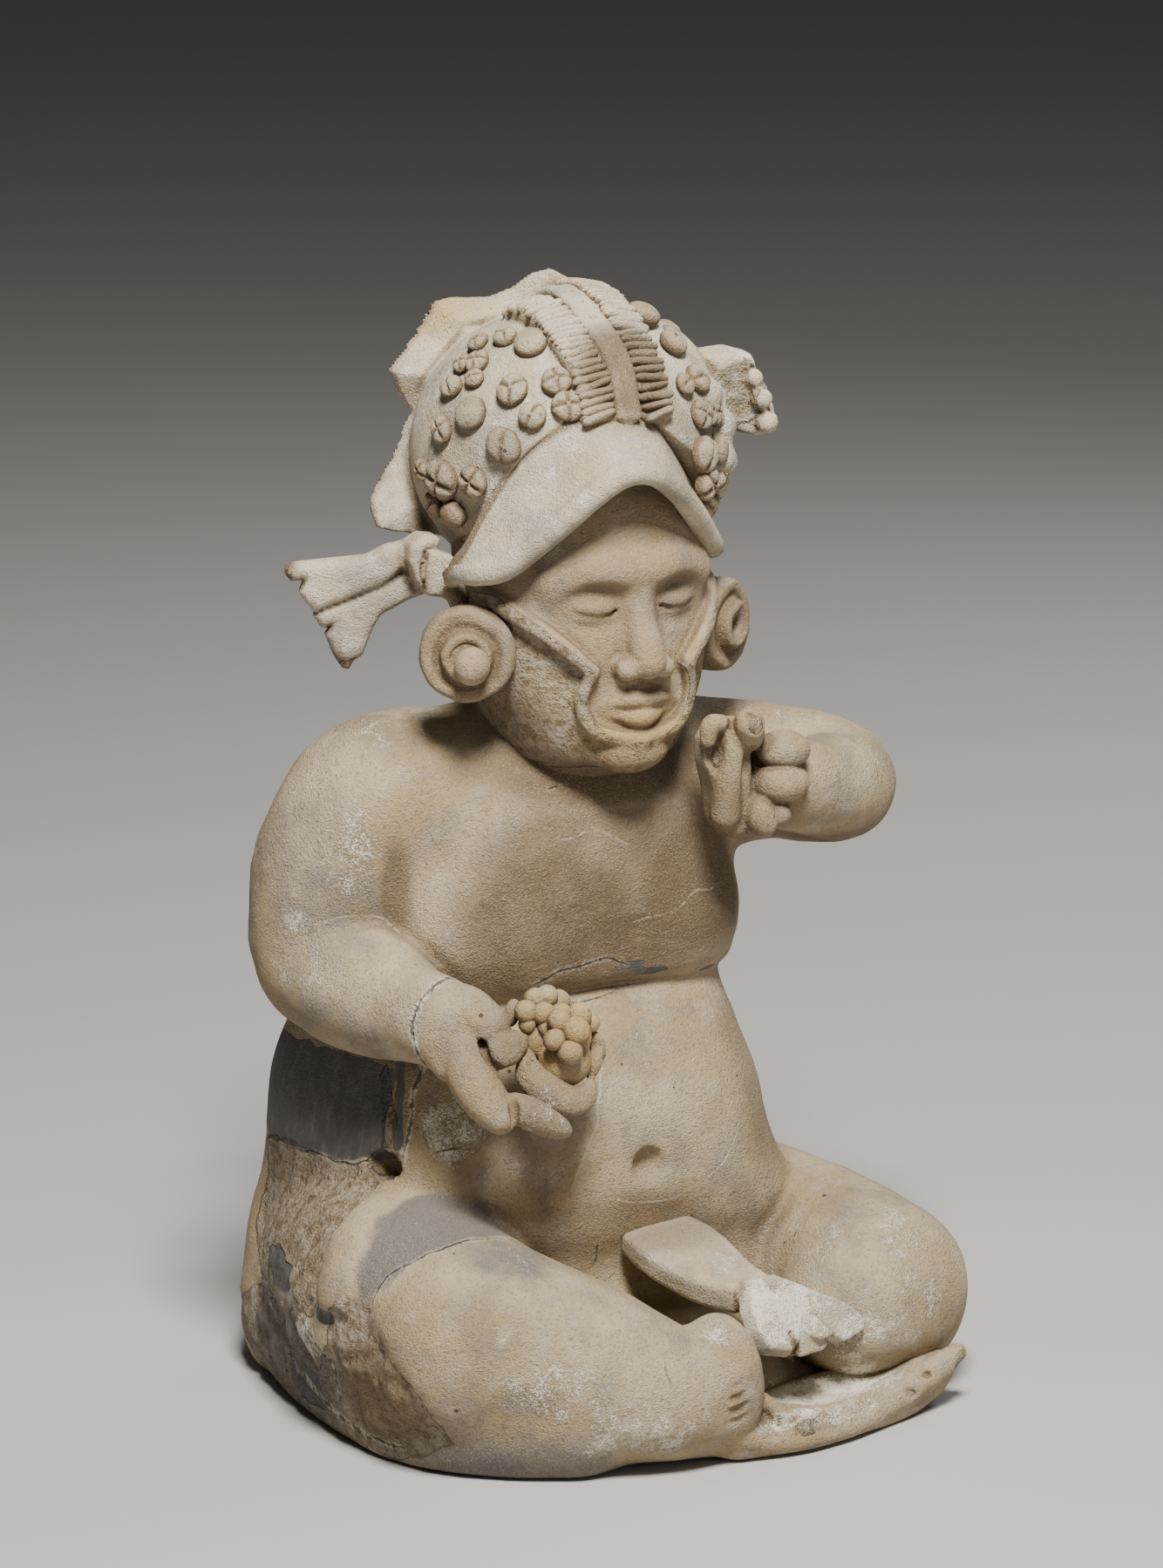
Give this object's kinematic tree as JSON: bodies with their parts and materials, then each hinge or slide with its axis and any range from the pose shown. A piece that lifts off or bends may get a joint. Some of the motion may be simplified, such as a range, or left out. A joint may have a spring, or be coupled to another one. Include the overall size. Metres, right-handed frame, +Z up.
{
  "type": "seated dwarf figure",
  "caption": "Fired clay figure of a seated, round-bodied dwarf with crossed legs, an open hand of fruit, a raised loose fist and a large wrapped headdress.",
  "frame": {"origin": "on the flat underside, on the ground, in the middle of the body between the hips", "axes": "+Z up, -Y the way the figure looks, +X to the figure's left"},
  "size_m": [0.2193, 0.1984, 0.3475],
  "materials": {
    "clay": "matt fired clay with a worn pale slip, mended in places"
  },
  "bodies": {
    "root": {"dwarf_figure": "clay"}
  },
  "joints": []
}
